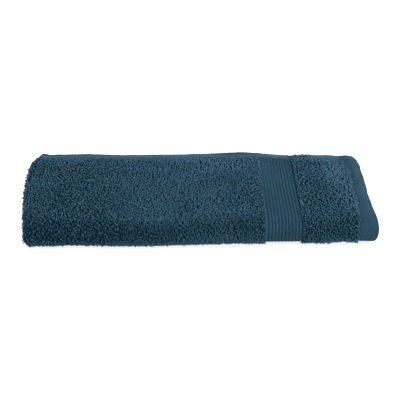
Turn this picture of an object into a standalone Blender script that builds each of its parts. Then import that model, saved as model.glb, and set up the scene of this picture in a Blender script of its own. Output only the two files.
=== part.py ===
"""Folded hand towel, cotton terry: one piece of cloth, folded twice.

The cloth is folded crosswise in half, so that both end hems meet at +X, and then in
thirds like a letter, so that the front is one full-height fold.  Its solid is one
section, a thin U of two layers, swept along the letter fold.

Metres, +Z up.  X runs along the fold, Y from the front fold to the back one, and Z = 0
is the surface that the towel lies on.
"""

import math

import bmesh
import bpy

MM = 0.001

# The stack
DEPTH = 177.0 * MM              # front fold to back fold
PILE_THICKNESS = 6.3 * MM       # one layer of terry, loops on both faces
LAYER_GAP = 0.6 * MM            # air between any two layers
FRONT_LENGTH = 455.0 * MM       # left bend to end hem, along the front fold
TOP_EDGE_Y = 79.5 * MM          # where the outer side hem ends, on top at the back
INNER_EDGE_REACH = 3.6 * MM     # how far the inner side hem enters the front fold
INNER_END_SHORT = 6.0 * MM      # the inner half's end hem stops short of the outer one
HEM_EDGE_ROUND = 1.2 * MM       # rounding of every hemmed edge, in from the edge
HEM_EDGE_DROP = 0.85 * MM       # and how much each face drops there
HEM_CORNER_ROUND = 11.0 * MM    # rounding of the corners where end and side hems meet

# Bands of each half, from its end hem inwards: each recess is how much lower than the
# pile the band lies, on the face that shows and on the face inside the pair.
END_BANDS = (
    # name, width, outer recess, inner recess
    ("end hem", 21.0 * MM, 2.0 * MM, 0.9 * MM),
    ("end pile", 74.5 * MM, 0.0, 0.0),
    ("ribbed border", 48.4 * MM, 3.0 * MM, 1.0 * MM),
)
OUTER, INNER = 2, 3             # the two columns of recesses
BAND_STEP = 1.6 * MM            # slope from the pile down to a band
END_SHIFT_REACH = 60.0 * MM     # how far from the end its unevenness fades out
BORDER = "ribbed border"
BORDER_RIBS = 11
RIB_HEIGHT = 1.1 * MM
RIB_CREST = (0.28, 0.72)        # where the flat crest starts and ends, in rib pitches
SIDE_HEM_WIDTH = 9.5 * MM
SIDE_HEM_RECESS = 1.3 * MM      # on both faces

# How the towel really lies.  Left end: the layers spread towards the back, most on top.
LEFT_SPREAD = (
    # y, shift towards -X of the top layers
    (-87.5 * MM, 0.0),
    (-69.0 * MM, 0.6 * MM),
    (-44.0 * MM, 5.0 * MM),
    (-18.0 * MM, 10.2 * MM),
    (8.0 * MM, 13.8 * MM),
    (37.0 * MM, 16.4 * MM),
    (60.0 * MM, 17.2 * MM),
    (69.0 * MM, 15.6 * MM),
    (76.0 * MM, 11.6 * MM),
    (79.5 * MM, 4.0 * MM),
    (90.0 * MM, 2.0 * MM),
)
SPREAD_OF_BOTTOM = 0.35         # share of that shift which the lowest layers have
SPREAD_HEIGHTS = (0.3, 0.8)     # where it starts and stops growing, in stack heights
SPREAD_FROM_X = 80.0 * MM       # the shift grows from here to the left end

# Top back edge: how far the side hem rises off the layers below.
EDGE_WAVE = (
    # x, rise
    (-250.0 * MM, 0.0),
    (-205.0 * MM, 0.3 * MM),
    (-158.0 * MM, 1.3 * MM),
    (-117.0 * MM, 0.2 * MM),
    (-59.0 * MM, 0.4 * MM),
    (0.0, 2.0 * MM),
    (29.0 * MM, 3.2 * MM),
    (50.0 * MM, 4.6 * MM),
    (72.0 * MM, 4.2 * MM),
    (90.0 * MM, 2.2 * MM),
    (112.0 * MM, 0.2 * MM),
    (150.0 * MM, 0.3 * MM),
    (232.0 * MM, 0.0),
)
EDGE_WAVE_REACH = 55.0 * MM     # how far in from the edge the rise fades out
EDGE_WAVE_STATIONS = (0.4, 0.7)  # sections on that way, as shares of it

# Right end: the hems of the layers don't meet exactly.
END_DRIFT = (
    # share of the way along the letter fold, shift towards +X
    (0.0, -4.5 * MM),
    (0.3, -1.5 * MM),
    (0.5, 1.2 * MM),
    (0.66, 0.0),
    (1.0, 0.8 * MM),
)

FRONT_SKEW = 6.5 * MM           # the front fold lies this much further back at +X
END_SAG = 0.055                 # share of its height that the stack loses at the end hem
SWELL = 0.014                   # gentle highs and lows, as a share of the height
SWELL_LENGTH_X = 150.0 * MM
SWELL_LENGTH_Y = 120.0 * MM

# Steps of the mesh
PILE_STEP = 38.0 * MM           # along X on the faces that show
INNER_STEP = 75.0 * MM          # along X on the faces inside the pair
BEND_STEPS = 8                  # left bend, outer face
INNER_BEND_STEPS = 4
HEM_CORNER_STEP = 4.0 * MM      # a section between the edge and the hem's inner line
FRONT_FOLD_STEPS = 12
BACK_FOLD_STEPS = 9
RUN_STEPS = {"middle": 3, "bottom": 5, "top": 5}

CLOTH_COLOUR = (0.026, 0.065, 0.100, 1.0)

# Worked out from the sizes above
HALF_PAIR = LAYER_GAP / 2 + PILE_THICKNESS
PAIR_PITCH = 2 * HALF_PAIR + LAYER_GAP
STACK_HEIGHT = 2 * HALF_PAIR + 2 * PAIR_PITCH
FRONT_RADIUS = PAIR_PITCH       # of the pair's middle, in the front fold
BACK_RADIUS = PAIR_PITCH / 2
FRONT_CENTRE_Y = -DEPTH / 2 + STACK_HEIGHT / 2
BACK_CENTRE_Y = DEPTH / 2 - BACK_RADIUS - HALF_PAIR
END_X = FRONT_LENGTH / 2
BEND_X = -FRONT_LENGTH / 2 + HALF_PAIR


def smooth(value, start, end):
    """0 before start, 1 after end, and a soft slope between them."""
    t = min(max((value - start) / (end - start), 0.0), 1.0)
    return t * t * (3 - 2 * t)


def read_table(table, value):
    """A smooth curve through the rows of a two-column table."""
    def slope(i):
        before, after = table[max(i - 1, 0)], table[min(i + 1, len(table) - 1)]
        return (after[1] - before[1]) / (after[0] - before[0])

    value = min(max(value, table[0][0]), table[-1][0])
    row = next(i for i in range(1, len(table)) if value <= table[i][0])
    (x0, y0), (x1, y1) = table[row - 1], table[row]
    span = x1 - x0
    t = (value - x0) / span
    ease = t * t * (3 - 2 * t)
    return (y0 + (y1 - y0) * ease + span * t * (1 - t) ** 2 * slope(row - 1)
            - span * t * t * (1 - t) * slope(row))


def even_steps(start, end, step):
    """Values from start to end, both included, no further apart than step."""
    count = max(1, math.ceil(abs(end - start) / step))
    return [start + (end - start) * i / count for i in range(count + 1)]


# ---- the section: two layers joined at the left bend ----

def rib_points(start, width, recess):
    """Crests and grooves of the border, as distance and recess."""
    pitch = width / BORDER_RIBS
    points = []
    for rib in range(BORDER_RIBS):
        groove = start + rib * pitch
        points.append((groove, recess))
        points += [(groove + share * pitch, recess - RIB_HEIGHT) for share in RIB_CREST]
    return points + [(start + width, recess)]


def face_points(length, column, ribbed, step):
    """One face of a layer from its end to the bend, as distance and recess."""
    hem_recess = END_BANDS[0][column]
    points = [(0.0, hem_recess + HEM_EDGE_DROP), (HEM_EDGE_ROUND, hem_recess)]
    start = 0.0
    for band in END_BANDS:
        name, width, recess = band[0], band[1], band[column]
        if name == BORDER and ribbed:
            points += rib_points(start, width, recess)
        elif recess:
            points += [(start, recess)] if start else []
            points.append((start + width, recess))
        else:
            points += [(d, 0.0) for d in even_steps(start + BAND_STEP,
                                                    start + width - BAND_STEP, step)]
        start += width
    return points + [(d, 0.0) for d in even_steps(start + BAND_STEP, length, step)]


def recessed(recess, place):
    """A recess at a place of the fold: the side hem takes over near a side edge."""
    mixed = recess + (SIDE_HEM_RECESS - recess) * place["side_hem"]
    return mixed + place["edge_drop"]


def bend_points(radius, steps):
    """Points inside the half turn that joins the two layers, as x and height."""
    turns = [math.pi * i / steps for i in range(1, steps)]
    return [(BEND_X - radius * math.sin(t), radius * math.cos(t)) for t in turns]


def section(place):
    """The closed outline of the two layers, as x and height off the pair's middle."""
    def outer_height(recess):
        return HALF_PAIR - recessed(recess, place)

    def inner_height(recess):
        return LAYER_GAP / 2 + recessed(recess, place)

    def face(end_x, column, ribbed, step, height, side):
        points = []
        for d, recess in face_points(end_x - BEND_X, column, ribbed, step):
            shift = place["end_shift"] * (1 - smooth(d, 0.0, END_SHIFT_REACH))
            points.append((end_x - d + shift, side * height(recess)))
        return points

    lower_end = END_X - INNER_END_SHORT
    upper_out = face(END_X, OUTER, True, PILE_STEP, outer_height, 1)
    lower_out = face(lower_end, OUTER, False, PILE_STEP, outer_height, -1)
    lower_in = face(lower_end, INNER, False, INNER_STEP, inner_height, -1)
    upper_in = face(END_X, INNER, False, INNER_STEP, inner_height, 1)
    outer_bend = bend_points(outer_height(0.0), BEND_STEPS)
    inner_bend = bend_points(inner_height(0.0), INNER_BEND_STEPS)
    return (upper_out + outer_bend + lower_out[::-1]
            + lower_in + inner_bend[::-1] + upper_in[::-1])


# ---- the letter fold: the way the section travels, in the YZ plane ----

def corner_inset(edge):
    """How far a rounded hem corner pulls the end in, near a side edge."""
    short = HEM_CORNER_ROUND - min(edge, HEM_CORNER_ROUND)
    return HEM_CORNER_ROUND - math.sqrt(HEM_CORNER_ROUND ** 2 - short ** 2)


def hem_stations(inner):
    """Distances from a side edge at which the hem needs a section."""
    reach = [0.0, HEM_EDGE_ROUND, HEM_CORNER_STEP,
             SIDE_HEM_WIDTH, SIDE_HEM_WIDTH + BAND_STEP]
    if not inner:
        reach += [EDGE_WAVE_REACH * share for share in EDGE_WAVE_STATIONS]
    return reach


def station(y, z, normal_y, normal_z, edge, outer=False):
    """A place on the path, with its distance from the nearer side edge."""
    return {
        "y": y, "z": z, "normal": (normal_y, normal_z),
        "side_hem": 1.0 - smooth(edge, SIDE_HEM_WIDTH, SIDE_HEM_WIDTH + BAND_STEP),
        "edge_drop": HEM_EDGE_DROP if edge == 0.0 else 0.0,
        "edge_rise": 1.0 - smooth(edge, 0.0, EDGE_WAVE_REACH) if outer else 0.0,
        "end_shift": -corner_inset(edge),
    }


def drift_ends(path):
    """Shift each station's end hems by how far along the fold it is."""
    travelled = 0.0
    places = [0.0]
    for near, far in zip(path, path[1:]):
        travelled += math.hypot(far["y"] - near["y"], far["z"] - near["z"])
        places.append(travelled)
    for place, at in zip(path, places):
        place["end_shift"] += read_table(END_DRIFT, at / travelled)
    return path


def fold_path():
    """Stations from the hidden side hem to the one on top at the back."""
    middle_z = HALF_PAIR + PAIR_PITCH
    inner_edge_y = FRONT_CENTRE_Y - INNER_EDGE_REACH
    path = []

    # middle run, from inside the front fold to the back
    reach = hem_stations(inner=True)
    path += [station(inner_edge_y + d, middle_z, 0, 1, d) for d in reach]
    for y in even_between(inner_edge_y + reach[-1], BACK_CENTRE_Y, RUN_STEPS["middle"]):
        path.append(station(y, middle_z, 0, 1, y - inner_edge_y))

    # back fold, down to the surface
    for i in range(BACK_FOLD_STEPS + 1):
        turn = math.pi * i / BACK_FOLD_STEPS
        side, up = math.sin(turn), math.cos(turn)
        path.append(station(BACK_CENTRE_Y + BACK_RADIUS * side,
                            middle_z - BACK_RADIUS + BACK_RADIUS * up, side, up, DEPTH))

    # bottom run, to the front
    for y in even_between(BACK_CENTRE_Y, FRONT_CENTRE_Y, RUN_STEPS["bottom"]):
        path.append(station(y, HALF_PAIR, 0, -1, DEPTH))

    # front fold, up the whole height
    for i in range(FRONT_FOLD_STEPS + 1):
        turn = math.pi * i / FRONT_FOLD_STEPS
        side, up = -math.sin(turn), -math.cos(turn)
        path.append(station(FRONT_CENTRE_Y + FRONT_RADIUS * side,
                            middle_z + FRONT_RADIUS * up, side, up, DEPTH))

    # top run, to the side hem that shows at the back
    reach = hem_stations(inner=False)
    top_z = middle_z + PAIR_PITCH
    for y in even_between(FRONT_CENTRE_Y, TOP_EDGE_Y - reach[-1], RUN_STEPS["top"]):
        path.append(station(y, top_z, 0, 1, TOP_EDGE_Y - y, outer=True))
    path += [station(TOP_EDGE_Y - d, top_z, 0, 1, d, outer=True) for d in reach[::-1]]
    return drift_ends(path)


def even_between(start, end, steps):
    """Values strictly between start and end that cut the way into equal steps."""
    return [start + (end - start) * i / steps for i in range(1, steps)]


# ---- how it really lies ----

def settle(x, y, z, edge_rise):
    """A point of the neat fold, moved to where the soft towel has it."""
    height = z / STACK_HEIGHT
    swell = SWELL * math.sin(x / SWELL_LENGTH_X * math.tau) \
        * math.cos(y / SWELL_LENGTH_Y * math.tau)
    sag = END_SAG * smooth(x, END_X - END_BANDS[0][1] - BAND_STEP, END_X)
    new_z = z * (1 + swell - sag) + edge_rise * read_table(EDGE_WAVE, x)

    share = SPREAD_OF_BOTTOM + (1 - SPREAD_OF_BOTTOM) * smooth(height, *SPREAD_HEIGHTS)
    spread = read_table(LEFT_SPREAD, y) * share
    new_x = x - spread * (1 - smooth(x, -END_X, SPREAD_FROM_X))

    frontness = 0.5 - y / DEPTH
    new_y = y + FRONT_SKEW * (0.5 + x / FRONT_LENGTH) * frontness
    return new_x, new_y, new_z


def ring(bm, place):
    """The section's vertices at one station of the fold."""
    normal_y, normal_z = place["normal"]
    verts = []
    for x, height in section(place):
        y = place["y"] + height * normal_y
        z = place["z"] + height * normal_z
        verts.append(bm.verts.new(settle(x, y, z, place["edge_rise"])))
    return verts


def folded_cloth(bm):
    """Loft the section along the fold and close it at the two side edges."""
    rings = [ring(bm, place) for place in fold_path()]
    count = len(rings[0])
    for near, far in zip(rings, rings[1:]):
        for i in range(count):
            j = (i + 1) % count
            bm.faces.new((near[i], near[j], far[j], far[i]))
    bm.faces.new(rings[0])
    bm.faces.new(rings[-1])
    bmesh.ops.recalc_face_normals(bm, faces=bm.faces)


def centre_on_base(bm):
    """Put the middle of the towel's footprint at the origin."""
    for axis in (0, 1):
        values = [v.co[axis] for v in bm.verts]
        middle = (min(values) + max(values)) / 2
        for v in bm.verts:
            v.co[axis] -= middle


def cloth_material():
    material = bpy.data.materials.new("navy_teal_terry")
    material.use_nodes = True
    shader = material.node_tree.nodes["Principled BSDF"]
    shader.inputs["Base Color"].default_value = CLOTH_COLOUR
    shader.inputs["Roughness"].default_value = 0.95
    shader.inputs["Metallic"].default_value = 0.0
    return material


def build():
    for old in list(bpy.data.objects):
        bpy.data.objects.remove(old, do_unlink=True)
    collection = bpy.data.collections.new("hand_towel")
    bpy.context.scene.collection.children.link(collection)

    bm = bmesh.new()
    folded_cloth(bm)
    centre_on_base(bm)
    mesh = bpy.data.meshes.new("folded_towel")
    bm.to_mesh(mesh)
    bm.free()

    towel = bpy.data.objects.new("folded_towel", mesh)
    collection.objects.link(towel)
    mesh.materials.append(cloth_material())
    mesh.shade_smooth()
    mesh.set_sharp_from_angle(angle=math.radians(50))


build()
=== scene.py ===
import math

import bmesh
import bpy
import numpy as np
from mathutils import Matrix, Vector


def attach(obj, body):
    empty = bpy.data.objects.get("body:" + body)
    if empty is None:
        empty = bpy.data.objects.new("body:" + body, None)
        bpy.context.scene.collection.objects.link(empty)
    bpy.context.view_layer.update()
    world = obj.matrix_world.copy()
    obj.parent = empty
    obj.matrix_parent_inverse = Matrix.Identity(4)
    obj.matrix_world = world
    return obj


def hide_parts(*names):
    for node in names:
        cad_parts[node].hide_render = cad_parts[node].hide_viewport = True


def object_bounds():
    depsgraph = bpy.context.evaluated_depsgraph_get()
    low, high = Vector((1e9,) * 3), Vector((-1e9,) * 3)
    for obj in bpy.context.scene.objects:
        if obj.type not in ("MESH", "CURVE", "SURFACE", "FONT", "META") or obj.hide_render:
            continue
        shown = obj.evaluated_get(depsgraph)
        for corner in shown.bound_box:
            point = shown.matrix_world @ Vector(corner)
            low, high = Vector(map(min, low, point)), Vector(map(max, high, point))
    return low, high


# A terry hand towel, made the way the real one is: woven and hemmed flat, then folded.
# Everything is first laid out on the flat cloth, in three measures:
#   fromEnd  - along the cloth, from the end hem on top to the one inside
#   fromSide - along the letter fold, from the side hem inside it to the one on top
#   lift     - off the tips of the pile, outwards
# and foldTowel then takes each point to its place in the folded towel.

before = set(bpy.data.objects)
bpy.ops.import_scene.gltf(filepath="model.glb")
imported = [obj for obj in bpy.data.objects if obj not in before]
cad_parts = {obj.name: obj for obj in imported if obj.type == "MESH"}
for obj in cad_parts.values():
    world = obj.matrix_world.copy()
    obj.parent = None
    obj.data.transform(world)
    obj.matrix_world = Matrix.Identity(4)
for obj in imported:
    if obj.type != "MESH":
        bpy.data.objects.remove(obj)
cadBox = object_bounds()
mm = 0.001

# The folded towel. Plain numbers in the tables are mm.
fold = {
    "depth": 177.0 * mm,            # front fold to back fold
    "pileThickness": 6.3 * mm,      # one layer
    "layerGap": 0.6 * mm,
    "frontLength": 455.0 * mm,
    "topEdgeY": 79.5 * mm,          # the side hem on top ends here
    "innerEdgeReach": 3.6 * mm,     # the inner side hem enters the front fold
    "innerEndShort": 6.0 * mm,      # the end hem inside stops short of the outer one
    "cornerRound": 11.0 * mm,       # where an end hem and a side hem meet
    "endShiftReach": 60.0 * mm,     # how far in from the end hems their drift fades out
    "spreadOfBottom": 0.35,         # share of the left end's spread that the lowest layers have
    "spreadHeights": (0.3, 0.8),    # where it starts and stops growing, in stack heights
    "spreadFromX": 80.0 * mm,       # it grows from here to the left end
    "edgeWaveReach": 55.0 * mm,     # how far in from the edge on top its wave fades out
    "frontSkew": 8.0 * mm,          # the front lies this much further back at the end hem
    "endSag": 0.055,                # share of its height that the stack loses at the end hem
    "swell": 0.014,                 # gentle highs and lows, as a share of the height
    "swellLength": (150.0 * mm, 120.0 * mm),
    # the side hem inside is drawn in where the cloth turns back: how far,
    # and between which distances that fades out, along the cloth and across it
    "innerTuck": (7.0 * mm, (14.0 * mm, 60.0 * mm), (6.0 * mm, 26.0 * mm)),
    # how far the end hems leave their line, over what lengths, and how deep into the cloth
    "hemDrift": (0.7 * mm, (47.0, 83.0, 29.0), (10.0 * mm, 40.0 * mm)),
    # the same for the ribs, and how much the unevenness slants from rib to rib
    "ribWander": (0.22 * mm, (11.0, 19.0, 37.0), 2.5),
    # where the front comes forward or, below 0, stays back: how far, where, reach
    "frontBows": ((2.2 * mm, -76.0 * mm, 58.0 * mm), (-1.1 * mm, -160.0 * mm, 26.0 * mm),
                  (-0.9 * mm, 50.0 * mm, 16.0 * mm), (-2.0 * mm, 187.0 * mm, 10.0 * mm)),
    # the bend's lower front corner is drawn in: how far, over what height, depth and length
    "cornerDraw": (2.4 * mm, 22.0 * mm, 30.0 * mm, 40.0 * mm),
    # y, how far the top layers lie towards -X at the left end
    "leftSpread": ((-87.5, -4.4), (-80, -2.6), (-69, -1.4), (-44, 4), (-18, 9.2), (8, 12.6),
                   (37, 15), (52, 14.5), (60, 13), (69, 9.2), (75, 6.3), (79.5, 4.4),
                   (90, 3)),
    # x, how far the side hem on top rises off the layers below
    "edgeWave": ((-250, 0), (-240, 1.3), (-230, 3.8), (-223, 2.4), (-218, 1.4), (-213.5, -0.1),
                 (-209, -0.2), (-204, 0.7), (-195, 0.1), (-158, 1.3), (-117, 0.2), (-59, 0.3),
                 (-26, 0.4), (-8, 1.7), (10, 2.2), (29, 3.2), (50, 4.6), (72, 4.2), (90, 2),
                 (108, 0), (126, -1.4), (142, -1.1), (154, 0.2), (170, -0.4), (190, -0.5),
                 (204, -2), (211, -0.6), (216, -0.2), (222, -0.4), (228, -1.2), (236, -1.8)),
    # share of the letter fold, shift of the end hems towards +X
    "endDrift": ((0.0, -4.5), (0.3, -1.5), (0.5, 1.2), (0.64, 0.4), (0.705, 1.7), (0.74, 1.0),
                 (0.785, -0.4), (0.84, 0.6), (0.88, 1.8), (0.93, 2.3), (1.0, 0.2)),
    # the same, how far the end hem's inner line is from where it would be
    "hemLine": ((0.0, 0.0), (0.58, -1.0), (0.638, -1.6), (0.655, -3.4), (0.685, -4.9), (0.705, -2.8),
                (0.75, 0.0), (0.82, 1.0), (0.9, 2.2), (0.94, 0.0), (0.97, -3.0), (1.0, -3.5)),
    "hemLineReach": (21.0 * mm, 26.0 * mm, 78.0 * mm),      # full from, full to, and gone at
    "placeSamples": (400, 300),     # along and across, to find the footprint's middle
}
halfPair = fold["layerGap"] / 2 + fold["pileThickness"]
pairPitch = 2 * halfPair + fold["layerGap"]
stackHeight = 2 * halfPair + 2 * pairPitch
middleZ = halfPair + pairPitch
frontRadius = pairPitch             # of the pair's middle, in the front fold
backRadius = pairPitch / 2
frontCentreY = -fold["depth"] / 2 + stackHeight / 2
backCentreY = fold["depth"] / 2 - backRadius - halfPair
innerEdgeY = frontCentreY - fold["innerEdgeReach"]
endX = fold["frontLength"] / 2
bendX = -endX + halfPair

# the letter fold's legs, as distances along it
middleRunEnd = backCentreY - innerEdgeY
backFoldEnd = middleRunEnd + math.pi * backRadius
underRunEnd = backFoldEnd + backCentreY - frontCentreY
frontFoldEnd = underRunEnd + math.pi * frontRadius
clothWidth = frontFoldEnd + fold["topEdgeY"] - frontCentreY

# the bands along the cloth
bendStart = endX - bendX
bendEnd = bendStart + math.pi * halfPair
clothLength = bendEnd + bendStart - fold["innerEndShort"]


def smooth(value, start, end):
    # 0 before start, 1 past end, with an easy slope between
    t = np.clip((value - start) / (end - start), 0.0, 1.0)
    return t * t * (3 - 2 * t)


def readTable(table, value):
    # an even curve through the table's points
    places, heights = np.array(table).T * mm
    rows = np.arange(len(places))
    before, after = np.maximum(rows - 1, 0), np.minimum(rows + 1, rows[-1])
    slopes = (heights[after] - heights[before]) / (places[after] - places[before])
    value = np.clip(value, places[0], places[-1])
    row = np.clip(np.searchsorted(places, value), 1, rows[-1])
    span = places[row] - places[row - 1]
    t = (value - places[row - 1]) / span
    ease = t * t * (3 - 2 * t)
    return (heights[row - 1] + (heights[row] - heights[row - 1]) * ease
            + span * t * (1 - t) ** 2 * slopes[row - 1] - span * t * t * (1 - t) * slopes[row])


def shareTable(table, fromSide):
    # a table whose places are shares of the letter fold
    return readTable([(share / mm, value) for share, value in table], fromSide / clothWidth)


def toEdges(fromEnd, fromSide):
    # to the nearer end of the cloth, and to its nearer side
    return np.minimum(fromEnd, clothLength - fromEnd), np.minimum(fromSide, clothWidth - fromSide)


def letterFold(fromSide):
    # the pair's middle: y, z, and its outward direction
    legs = [fromSide < legEnd for legEnd in (middleRunEnd, backFoldEnd, underRunEnd, frontFoldEnd)]
    back = (fromSide - middleRunEnd) / backRadius
    front = (fromSide - underRunEnd) / frontRadius
    flat = np.zeros_like(fromSide)
    outY = np.select(legs, [flat, np.sin(back), flat, -np.sin(front)], 0.0)
    outZ = np.select(legs, [flat + 1, np.cos(back), flat - 1, -np.cos(front)], 1.0)
    y = np.select(legs, [innerEdgeY + fromSide, backCentreY + backRadius * np.sin(back),
                         backCentreY - (fromSide - backFoldEnd),
                         frontCentreY - frontRadius * np.sin(front)],
                  frontCentreY + fromSide - frontFoldEnd)
    z = np.select(legs, [flat + middleZ, middleZ - backRadius + backRadius * np.cos(back),
                         flat + halfPair, middleZ - frontRadius * np.cos(front)], middleZ + pairPitch)
    return y, z, outY, outZ


def outerReach(fromSide):
    # the letter fold's length as the outer face has it
    back = np.clip(fromSide - middleRunEnd, 0, backFoldEnd - middleRunEnd) / backRadius
    front = np.clip(fromSide - underRunEnd, 0, frontFoldEnd - underRunEnd) / frontRadius
    return fromSide + halfPair * (back + front)


def foldStretch(fromEnd, fromSide):
    # how much longer the cloth's outer face is than the pair's middle, along the letter fold
    turn = np.clip((fromEnd - bendStart) / (bendEnd - bendStart), 0.0, 1.0) * math.pi
    height = halfPair * np.cos(turn)
    inBack = (fromSide > middleRunEnd) & (fromSide < backFoldEnd)
    inFront = (fromSide > underRunEnd) & (fromSide < frontFoldEnd)
    return 1 + height * np.where(inBack, 1 / backRadius, np.where(inFront, 1 / frontRadius, 0.0))


def settle(x, y, z, edgeRise):
    # a point of the neat fold, to where the soft towel has it
    height = z / stackHeight
    lengthX, lengthY = fold["swellLength"]
    swell = fold["swell"] * np.sin(x / lengthX * math.tau) * np.cos(y / lengthY * math.tau)
    sag = fold["endSag"] * smooth(x, endX - bands["endHem"][1] - bands["step"], endX)
    newZ = z * (1 + swell - sag) + edgeRise * readTable(fold["edgeWave"], x)
    share = fold["spreadOfBottom"] + (1 - fold["spreadOfBottom"]) * smooth(height, *fold["spreadHeights"])
    newX = x - readTable(fold["leftSpread"], y) * share * (1 - smooth(x, -endX, fold["spreadFromX"]))
    draw, overZ, overY, overX = fold["cornerDraw"]
    low = 1 - smooth(z, 0.0, overZ)
    atFront = 1 - smooth(y + fold["depth"] / 2, 0.0, overY)
    newX = newX + draw * low * atFront * (1 - smooth(x, bendX, bendX + overX))
    forward = sum(bow * np.exp(-((x - place) / reach) ** 2) for bow, place, reach in fold["frontBows"])
    newY = y + (fold["frontSkew"] * (0.5 + x / fold["frontLength"]) - forward) * (0.5 - y / fold["depth"])
    return newX, newY, newZ


def foldTowel(fromEnd, fromSide, lift):
    # crosswise first: a thin U of two layers
    turn = np.clip((fromEnd - bendStart) / halfPair, 0.0, math.pi)
    past = np.maximum(fromEnd - bendEnd, 0.0)
    radius = halfPair + lift
    height = radius * np.cos(turn)
    x = endX - np.minimum(fromEnd, bendStart) - radius * np.sin(turn) + past
    toEnd, toSide = toEdges(fromEnd, fromSide)
    short = fold["cornerRound"] - np.clip(toSide, 0.0, fold["cornerRound"])
    inset = fold["cornerRound"] - np.sqrt(fold["cornerRound"] ** 2 - short ** 2)
    atEnd = 1 - smooth(toEnd, 0.0, fold["endShiftReach"])
    x = x + (shareTable(fold["endDrift"], fromSide) - inset) * atEnd
    fullFrom, fullTo, goneAt = fold["hemLineReach"]
    nearHem = smooth(toEnd, 0.0, fullFrom) * (1 - smooth(toEnd, fullTo, goneAt))
    x = x + shareTable(fold["hemLine"], fromSide) * nearHem
    tuck, tuckAlong, tuckAcross = fold["innerTuck"]
    toBend = np.abs(fromEnd - (bendStart + bendEnd) / 2)
    x = x + tuck * (1 - smooth(toBend, *tuckAlong)) * (1 - smooth(fromSide, *tuckAcross))
    uneven, lengths, reach = fold["hemDrift"]
    uneven = uneven * unevenLine(fromSide, lengths) * (1 - smooth(toEnd, *reach))
    x = x + uneven * np.where(fromEnd < bendStart, 1, -1)
    wander, lengths, slant = fold["ribWander"]
    x = x + wander * unevenLine(fromSide + slant * fromEnd, lengths) * bandMasks(fromEnd, fromSide)[0]
    # then in thirds
    y, z, outY, outZ = letterFold(fromSide)
    edgeRise = 1 - smooth(clothWidth - fromSide, 0.0, fold["edgeWaveReach"])
    edgeRise = np.where(fromSide > frontFoldEnd, edgeRise, 0.0)
    x, y, z = settle(x, y + height * outY, z + height * outZ, edgeRise)
    return np.stack([x, y, z], axis=-1) + towelPlace


# The bands of the cloth
bands = {
    # from, to, how far the band lies below the pile's tips on the face outside the pair, and inside it
    "endHem": (0.0, 21.0 * mm, 2.0 * mm, 0.9 * mm),
    "border": (95.5 * mm, 143.9 * mm, 3.0 * mm, 1.0 * mm),
    "step": 1.6 * mm,               # slope between the pile and a band
    "ribs": 11,
    "ribsFrom": 96.6 * mm,          # a groove is left between the first rib and the pile
    "ribHeight": 1.1 * mm,
    "ribCrest": 0.75,               # below 1 a rib's crest is broader than a wave's
    "ribFade": (0.55, 116.0 * mm, 140.0 * mm, 385.0 * mm, 440.0 * mm),  # flatter there: how much, where
    "ribsInHem": 0.4 * mm,          # what is left of the ribs where the side hem is turned over them
    "sideHem": 10.2 * mm,
    "sideHemSink": 0.9 * mm,
    "edgeRound": 1.9 * mm,          # every edge, where the cloth turns under
    "edgeDrop": 1.35 * mm,
    "pileSink": 2.1 * mm,           # the ground cloth below the tips of the loops
    # the sewing's puckers: height, lengths (mm) on the end hems and on the side hems, slant on each
    "hemPucker": (0.22 * mm, (7.3, 11.9, 19.7, 31.0), (8.1, 13.3, 22.1), 0.3, -0.4),
    "seamIn": 1.7 * mm,             # the hems' sewing, in from the hem's inner line
    "seamDent": 0.45 * mm,
    "seamWidth": 1.1 * mm,
    # the loops go on a little way where the face goes out of sight: past the left bend,
    # before the back fold, and before the bend
    "pastBend": (6.0 * mm, 14.0 * mm),
    "beforeBack": (-16.0 * mm, -8.0 * mm),
    "beforeBend": (-14.0 * mm, -6.0 * mm),
}


def outsideShows(fromEnd, fromSide):
    # 1 where the outer face can be seen, and so carries loops
    upper = 1 - smooth(fromEnd - bendEnd, *bands["pastBend"])
    wrapped = smooth(fromSide - middleRunEnd, *bands["beforeBack"])
    bend = smooth(fromEnd - bendStart, *bands["beforeBend"])
    return upper * np.maximum(wrapped, bend)


def bandMasks(fromEnd, fromSide):
    # border, end hem and side hem, each 1 inside and 0 outside, softly at the edges
    step = bands["step"]
    start, end = bands["border"][:2]
    hemEnd, sideHemEnd = bands["endHem"][1], bands["sideHem"]
    toEnd, toSide = toEdges(fromEnd, fromSide)
    border = smooth(fromEnd, start - step, start) * (1 - smooth(fromEnd, end, end + step))
    endHem = 1 - smooth(toEnd, hemEnd, hemEnd + step)
    sideHem = 1 - smooth(toSide, sideHemEnd, sideHemEnd + step)
    return border, endHem, sideHem


def ribs(fromEnd, fromSide):
    # 1 on a rib's crest, 0 in the grooves
    start, end = bands["ribsFrom"], bands["border"][1]
    pitch = (end - start) / bands["ribs"]
    across = (fromEnd - start) / pitch
    crest = np.sin(math.pi * (across - np.floor(across))) ** bands["ribCrest"]
    crest = np.where(across > bands["ribs"] - 0.5, 1.0, crest)      # the last one runs in under the pile
    fade, endFrom, endTo, sideFrom, sideTo = bands["ribFade"]
    fade = fade * smooth(fromEnd, endFrom, endTo) * smooth(fromSide, sideFrom, sideTo)
    return np.where(across > 0, 1 - (1 - crest) * (1 - fade), 0.0)


def seam(fromEnd, fromSide):
    # the dent that the hems' sewing pulls in
    toEnd, toSide = toEdges(fromEnd, fromSide)
    endSeam = np.abs(toEnd - (bands["endHem"][1] - bands["seamIn"]))
    sideSeam = np.abs(toSide - (bands["sideHem"] - bands["seamIn"]))
    return 1 - smooth(np.minimum(endSeam, sideSeam), 0.0, bands["seamWidth"])


def edgeFall(fromEnd, fromSide):
    near = np.clip(1 - np.minimum(*toEdges(fromEnd, fromSide)) / bands["edgeRound"], 0.0, 1.0)
    return bands["edgeDrop"] * (1 - np.sqrt(1 - near ** 2))


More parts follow.
